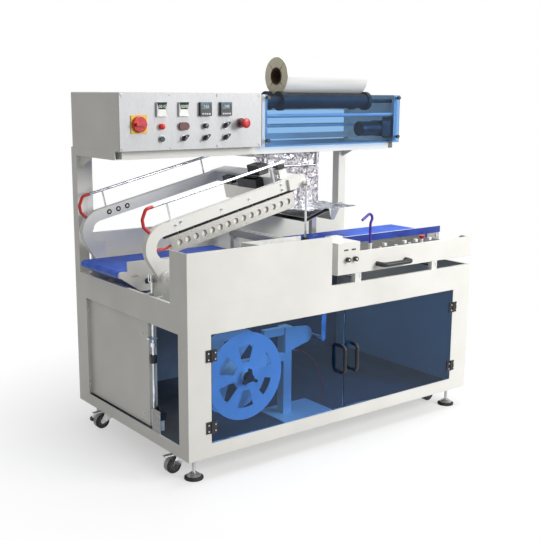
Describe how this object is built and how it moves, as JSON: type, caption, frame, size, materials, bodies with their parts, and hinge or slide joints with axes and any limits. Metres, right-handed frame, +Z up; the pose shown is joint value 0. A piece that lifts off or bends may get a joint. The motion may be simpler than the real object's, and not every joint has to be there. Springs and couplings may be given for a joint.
{
  "type": "l bar sealer",
  "caption": "Floor-standing L-bar sealer: raised hooked seal arms over blue belts, film roll on an overhead rack, control box and a cabinet with tinted doors over a scrap reel.",
  "frame": {"origin": "on the floor under the middle of the machine's bounding box", "axes": "+X to the right along the front, +Y towards the back, +Z up"},
  "size_m": [1.69, 1.037, 1.726],
  "materials": {
    "cream_paint": "fine powder coat",
    "brushed_panel": "brushed",
    "steel_sheet": "brushed",
    "polished_steel": "polished",
    "brass_blade": "dull",
    "black_plastic": "matt",
    "red_plastic": "gloss",
    "black_rubber": "matt",
    "caster_tyre": "matt",
    "blue_belt": "woven, matt",
    "blue_acrylic": "polished, tinted",
    "clear_film": "glossy, wound",
    "crinkled_film": "glossy, crinkled",
    "reel_paint": "satin"
  },
  "bodies": {
    "machine": {"cabinet_body": "cream_paint", "left_cover": "cream_paint", "guard_panel": "cream_paint", "rear_wall": "cream_paint", "rear_frame": "cream_paint", "control_box": "cream_paint", "control_panel": "brushed_panel", "panel_fittings": "black_plastic", "film_rack": "cream_paint", "rack_cover": "blue_acrylic", "film_web": "crinkled_film", "film_former": "steel_sheet", "hinge_brackets": "steel_sheet", "air_drive": "black_plastic", "seal_bed": "steel_sheet", "discharge_belt": "blue_belt", "discharge_frame": "steel_sheet", "carriage_rails": "polished_steel", "door_hinges": "black_plastic", "reel_stand": "cream_paint", "base_fittings": "black_rubber"},
    "seal_frame": {"front_arm": "cream_paint", "rear_arm": "cream_paint", "cross_arm": "cream_paint", "guard_rail": "polished_steel", "seal_blade": "brass_blade", "head_fittings": "black_plastic"},
    "guard": {"knife_guard": "steel_sheet"},
    "carriage": {"infeed_carriage": "cream_paint", "infeed_belt": "blue_belt", "infeed_fittings": "black_plastic"},
    "isolator_grip": {"isolator_grip": "red_plastic"},
    "emergency_stop": {"emergency_stop": "red_plastic"},
    "start_button": {"start_button": "black_plastic"},
    "speed_dial": {"speed_dial": "black_plastic"},
    "seal_selector": {"seal_selector": "black_plastic"},
    "feed_selector": {"feed_selector": "black_plastic"},
    "belt_selector": {"belt_selector": "black_plastic"},
    "heat_selector": {"heat_selector": "black_plastic"},
    "film_rocker": {"film_rocker": "black_plastic"},
    "film_roll": {"film_roll": "clear_film"},
    "front_cradle": {"front_cradle": "black_rubber"},
    "rear_cradle": {"rear_cradle": "black_rubber"},
    "drive_rod": {"drive_rod": "polished_steel"},
    "strut_cylinder": {"strut_cylinder": "black_plastic"},
    "strut_rod": {"strut_rod": "polished_steel"},
    "discharge_drum": {"discharge_drum": "polished_steel"},
    "infeed_drum": {"infeed_drum": "polished_steel"},
    "left_door": {"left_door": "blue_acrylic"},
    "right_door": {"right_door": "blue_acrylic"},
    "scrap_reel": {"scrap_reel": "reel_paint"},
    "dancer_arm": {"dancer_arm": "polished_steel"},
    "front_left_fork": {"front_left_fork": "polished_steel"},
    "front_left_wheel": {"front_left_wheel": "caster_tyre"},
    "front_right_fork": {"front_right_fork": "polished_steel"},
    "front_right_wheel": {"front_right_wheel": "caster_tyre"},
    "rear_left_fork": {"rear_left_fork": "polished_steel"},
    "rear_left_wheel": {"rear_left_wheel": "caster_tyre"},
    "rear_right_fork": {"rear_right_fork": "polished_steel"},
    "rear_right_wheel": {"rear_right_wheel": "caster_tyre"}
  },
  "joints": [
    {"name": "seal_hinge", "type": "hinge", "parent": "machine", "child": "seal_frame", "pos_m": [-0.733, -0.1715, 0.805], "axis": [0, 1, 0], "range_deg": [0, 13]},
    {"name": "guard_slide", "type": "slide", "parent": "seal_frame", "child": "guard", "axis": [-0.225, 0, 0.9744], "range_m": [0, 0.01], "stiffness_N_per_m": 2000, "springref_m": -0.01},
    {"name": "drive_rod_slide", "type": "slide", "parent": "machine", "child": "drive_rod", "axis": [0, 0, 1], "range_m": [0, 0.0098]},
    {"name": "strut_cylinder_pivot", "type": "hinge", "parent": "machine", "child": "strut_cylinder", "pos_m": [-0.01004, -0.2135, 0.66], "axis": [0, 1, 0], "range_deg": [-1, 11]},
    {"name": "strut_rod_pivot", "type": "hinge", "parent": "seal_frame", "child": "strut_rod", "pos_m": [-0.01004, -0.2135, 1.1587], "axis": [0, 1, 0], "range_deg": [-4, 1]},
    {"name": "discharge_drum_spin", "type": "hinge", "parent": "machine", "child": "discharge_drum", "pos_m": [-0.132, 0.201, 0.789], "axis": [0, 1, 0], "continuous": true},
    {"name": "carriage_slide", "type": "slide", "parent": "machine", "child": "carriage", "axis": [0, 1, 0], "range_m": [0, 0.07]},
    {"name": "infeed_drum_spin", "type": "hinge", "parent": "carriage", "child": "infeed_drum", "pos_m": [0.826, -0.0855, 0.851], "axis": [0, 1, 0], "continuous": true},
    {"name": "film_roll_spin", "type": "hinge", "parent": "machine", "child": "film_roll", "pos_m": [0.378, 0.1635, 1.63707], "axis": [1, 0, 0], "continuous": true},
    {"name": "front_cradle_spin", "type": "hinge", "parent": "machine", "child": "front_cradle", "pos_m": [0.378, 0.1135, 1.52], "axis": [1, 0, 0], "continuous": true},
    {"name": "rear_cradle_spin", "type": "hinge", "parent": "machine", "child": "rear_cradle", "pos_m": [0.378, 0.2135, 1.52], "axis": [1, 0, 0], "continuous": true},
    {"name": "left_door_hinge", "type": "hinge", "parent": "machine", "child": "left_door", "pos_m": [-0.695, -0.4655, 0.386], "axis": [0, 0, -1], "range_deg": [0, 110]},
    {"name": "right_door_hinge", "type": "hinge", "parent": "machine", "child": "right_door", "pos_m": [0.732, -0.4655, 0.386], "axis": [0, 0, 1], "range_deg": [0, 110]},
    {"name": "scrap_reel_spin", "type": "hinge", "parent": "machine", "child": "scrap_reel", "pos_m": [-0.472, -0.3335, 0.382], "axis": [0, 1, 0], "continuous": true},
    {"name": "dancer_swing", "type": "hinge", "parent": "machine", "child": "dancer_arm", "pos_m": [0.021, -0.3115, 0.57], "axis": [0, 1, 0], "range_deg": [-30, 5]},
    {"name": "front_left_swivel", "type": "hinge", "parent": "machine", "child": "front_left_fork", "pos_m": [-0.74, -0.3015, 0.09], "axis": [0, 0, 1], "range_deg": [-225, 45]},
    {"name": "front_left_roll", "type": "hinge", "parent": "front_left_fork", "child": "front_left_wheel", "pos_m": [-0.785, -0.3015, 0.037], "axis": [0, 1, 0], "continuous": true},
    {"name": "front_right_swivel", "type": "hinge", "parent": "machine", "child": "front_right_fork", "pos_m": [0.792, -0.3015, 0.09], "axis": [0, 0, 1], "range_deg": [-225, 45]},
    {"name": "front_right_roll", "type": "hinge", "parent": "front_right_fork", "child": "front_right_wheel", "pos_m": [0.747, -0.3015, 0.037], "axis": [0, 1, 0], "continuous": true},
    {"name": "rear_left_swivel", "type": "hinge", "parent": "machine", "child": "rear_left_fork", "pos_m": [-0.74, 0.3385, 0.09], "axis": [0, 0, 1], "range_deg": [-45, 225]},
    {"name": "rear_left_roll", "type": "hinge", "parent": "rear_left_fork", "child": "rear_left_wheel", "pos_m": [-0.785, 0.3385, 0.037], "axis": [0, 1, 0], "continuous": true},
    {"name": "rear_right_swivel", "type": "hinge", "parent": "machine", "child": "rear_right_fork", "pos_m": [0.792, 0.3385, 0.09], "axis": [0, 0, 1], "range_deg": [-45, 225]},
    {"name": "rear_right_roll", "type": "hinge", "parent": "rear_right_fork", "child": "rear_right_wheel", "pos_m": [0.747, 0.3385, 0.037], "axis": [0, 1, 0], "continuous": true},
    {"name": "isolator_turn", "type": "hinge", "parent": "machine", "child": "isolator_grip", "pos_m": [-0.713, 0.0405, 1.423], "axis": [0, 1, 0], "range_deg": [0, 90]},
    {"name": "stop_push", "type": "slide", "parent": "machine", "child": "emergency_stop", "axis": [0, 1, 0], "range_m": [0, 0.005]},
    {"name": "start_push", "type": "slide", "parent": "machine", "child": "start_button", "axis": [0, 1, 0], "range_m": [0, 0.003], "stiffness_N_per_m": 400, "springref_m": -0.003},
    {"name": "speed_turn", "type": "hinge", "parent": "machine", "child": "speed_dial", "pos_m": [-0.38, 0.0405, 1.412], "axis": [0, 1, 0], "range_deg": [-150, 150]},
    {"name": "seal_select", "type": "hinge", "parent": "machine", "child": "seal_selector", "pos_m": [-0.271, 0.0405, 1.412], "axis": [0, 1, 0], "range_deg": [-90, 0]},
    {"name": "feed_select", "type": "hinge", "parent": "machine", "child": "feed_selector", "pos_m": [-0.492, 0.0405, 1.359], "axis": [0, 1, 0], "range_deg": [-90, 0]},
    {"name": "belt_select", "type": "hinge", "parent": "machine", "child": "belt_selector", "pos_m": [-0.38, 0.0405, 1.359], "axis": [0, 1, 0], "range_deg": [-90, 0]},
    {"name": "heat_select", "type": "hinge", "parent": "machine", "child": "heat_selector", "pos_m": [-0.271, 0.0405, 1.359], "axis": [0, 1, 0], "range_deg": [-90, 0]},
    {"name": "rocker_tilt", "type": "hinge", "parent": "machine", "child": "film_rocker", "pos_m": [-0.492, 0.0435, 1.412], "axis": [0, 0, 1], "range_deg": [-5, 5]}
  ],
  "couplings": [
    {"joint": "drive_rod_slide", "follows": "seal_hinge", "m_per_rad": 0.042},
    {"joint": "strut_cylinder_pivot", "follows": "seal_hinge", "ratio": 0.79},
    {"joint": "strut_rod_pivot", "follows": "seal_hinge", "ratio": -0.21},
    {"joint": "front_cradle_spin", "follows": "film_roll_spin", "ratio": -2.3421},
    {"joint": "rear_cradle_spin", "follows": "film_roll_spin", "ratio": -2.3421}
  ]
}
